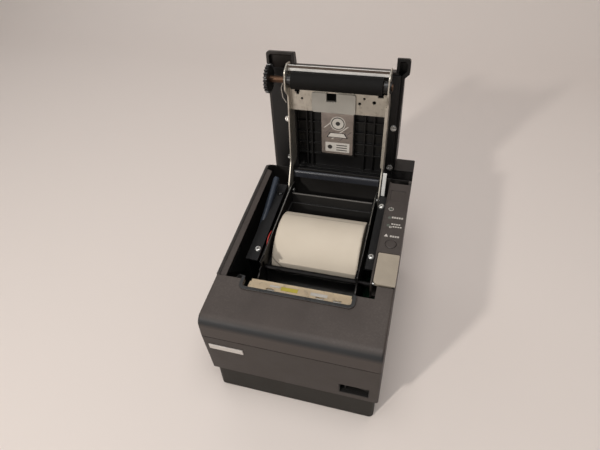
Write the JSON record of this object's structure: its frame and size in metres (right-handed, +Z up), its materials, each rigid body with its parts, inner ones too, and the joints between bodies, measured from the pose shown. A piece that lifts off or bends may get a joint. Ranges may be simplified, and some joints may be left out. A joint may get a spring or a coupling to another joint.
{
  "type": "receipt printer",
  "caption": "Thermal receipt printer with its roll cover tilted open, a paper roll in the bay, platen, cutter, control strip and lever.",
  "frame": {"origin": "middle of the bounding box with the cover open, on the plane the feet stand on", "axes": "+X to the right seen from the front, +Y to the back, +Z up"},
  "size_m": [0.145, 0.2358, 0.2299],
  "materials": {
    "case_plastic": "fine-grained moulded charcoal plastic",
    "base_plastic": "fine-grained moulded dark plastic",
    "black_plastic": "moulded black plastic",
    "panel_plastic": "smooth satin plastic with printed marks",
    "lever_plastic": "warm grey moulded plastic",
    "bracket_plastic": "light grey moulded plastic",
    "zinc_sheet": "zinc-plated sheet steel",
    "tan_steel": "passivated sheet steel",
    "blade_steel": "ground steel",
    "bright_steel": "nickel-plated steel",
    "head_aluminium": "extruded aluminium",
    "ceramic": "glazed ceramic line",
    "black_rubber": "ground rubber roller",
    "foot_rubber": "soft moulded rubber",
    "paper": "wound thermal paper",
    "core_board": "wound paper tube",
    "badge_metal": "thin satin plate, blank",
    "label_film": null,
    "lamp_lens": "translucent lamp lens",
    "board_green": "coated circuit board",
    "red_insulation": "red wire insulation",
    "gear_plastic": "moulded black acetal",
    "shaft_steel": "passivated steel shaft"
  },
  "bodies": {
    "base": {"bottom_case": "base_plastic", "case_screws": "bright_steel", "rubber_feet": "foot_rubber", "main_case": "case_plastic", "badge_plate": "badge_metal", "control_panel": "panel_plastic", "panel_board": "board_green", "status_lamps": "lamp_lens", "lever_pin": "bright_steel", "frame_base_plate": "zinc_sheet", "frame_left_plate": "zinc_sheet", "frame_right_plate": "zinc_sheet", "hinge_pins": "bright_steel", "roll_tray": "black_plastic", "left_side_panel": "black_plastic", "right_side_panel": "black_plastic", "bay_rear_panel": "black_plastic", "frame_screws": "bright_steel", "near_end_sensor": "black_plastic", "red_lead": "red_insulation", "print_head_sink": "head_aluminium", "print_head_ceramic": "ceramic", "head_spring": "blade_steel", "feed_motor": "zinc_sheet", "cutter_frame": "zinc_sheet", "cutter_guide": "tan_steel", "cutter_motor": "zinc_sheet", "power_switch_body": "black_plastic", "main_board": "board_green", "interface_plate": "zinc_sheet", "interface_board": "board_green", "power_socket": "black_plastic", "drawer_socket": "black_plastic", "data_socket": "zinc_sheet"},
    "cover": {"cover_shell": "case_plastic", "cover_liner": "black_plastic", "cover_label": "label_film", "cover_frame": "zinc_sheet", "cover_bracket": "bracket_plastic", "fixed_blade": "blade_steel", "ground_spring": "bright_steel", "cover_screws": "bright_steel", "platen_bushes": "gear_plastic"},
    "platen": {"platen_shaft": "shaft_steel", "platen_rubber": "black_rubber", "platen_gear": "gear_plastic"},
    "front_cover": {"front_cover": "case_plastic"},
    "roll": {"paper_roll": "paper", "roll_core": "core_board"},
    "feed_button": {"feed_button": "panel_plastic"},
    "cover_open_lever": {"cover_open_lever": "lever_plastic"},
    "lock_shaft": {"lock_shaft": "bright_steel"},
    "power_rocker": {"power_rocker": "black_plastic"},
    "moving_blade": {"moving_blade": "blade_steel"},
    "cutter_gear": {"cutter_gear": "gear_plastic"},
    "reduction_gear": {"reduction_gear": "gear_plastic"},
    "feed_pinion": {"feed_pinion": "gear_plastic"}
  },
  "joints": [
    {"name": "cover_hinge", "type": "hinge", "parent": "base", "child": "cover", "pos_m": [0, 0.06259, 0.09658], "axis": [1, 0, 0], "range_deg": [0, 97.6]},
    {"name": "platen_spin", "type": "hinge", "parent": "cover", "child": "platen", "pos_m": [0, 0.07305, 0.21191], "axis": [1, 0, 0], "continuous": true},
    {"name": "front_cover_slide", "type": "slide", "parent": "base", "child": "front_cover", "axis": [0, -1, 0], "range_m": [0, 0.03]},
    {"name": "roll_spin", "type": "hinge", "parent": "base", "child": "roll", "pos_m": [0, 0.00809, 0.066], "axis": [1, 0, 0], "continuous": true},
    {"name": "feed_button_press", "type": "slide", "parent": "base", "child": "feed_button", "axis": [0, 0.1323, -0.9912], "range_m": [0, 0.0008], "stiffness_N_per_m": 600, "springref_m": -0.0012},
    {"name": "cover_open_lever_press", "type": "hinge", "parent": "base", "child": "cover_open_lever", "pos_m": [0, -0.05401, 0.10433], "axis": [1, 0, 0], "range_deg": [-5, 0], "stiffness_Nm_per_rad": 0.6, "springref_deg": 4.58},
    {"name": "lock_turn", "type": "hinge", "parent": "base", "child": "lock_shaft", "pos_m": [0, -0.03741, 0.084], "axis": [1, 0, 0], "range_deg": [-15.5, 0.5]},
    {"name": "power_rocker_tilt", "type": "hinge", "parent": "base", "child": "power_rocker", "pos_m": [0.0548, -0.10651, 0.0425], "axis": [0, 0, 1], "range_deg": [0, 12]},
    {"name": "blade_slide", "type": "slide", "parent": "base", "child": "moving_blade", "axis": [0, 1, 0], "range_m": [0, 0.0075]},
    {"name": "cutter_gear_spin", "type": "hinge", "parent": "base", "child": "cutter_gear", "pos_m": [0, -0.09041, 0.085], "axis": [1, 0, 0], "range_deg": [-70, 1]},
    {"name": "reduction_gear_spin", "type": "hinge", "parent": "base", "child": "reduction_gear", "pos_m": [0, -0.06343, 0.07696], "axis": [1, 0, 0], "continuous": true},
    {"name": "feed_pinion_spin", "type": "hinge", "parent": "base", "child": "feed_pinion", "pos_m": [0, -0.07293, 0.0605], "axis": [1, 0, 0], "continuous": true}
  ],
  "couplings": [
    {"joint": "lock_turn", "follows": "cover_open_lever_press", "ratio": 3},
    {"joint": "cutter_gear_spin", "follows": "blade_slide", "rad_per_m": -133.33},
    {"joint": "feed_pinion_spin", "follows": "reduction_gear_spin", "ratio": -2.1667}
  ]
}
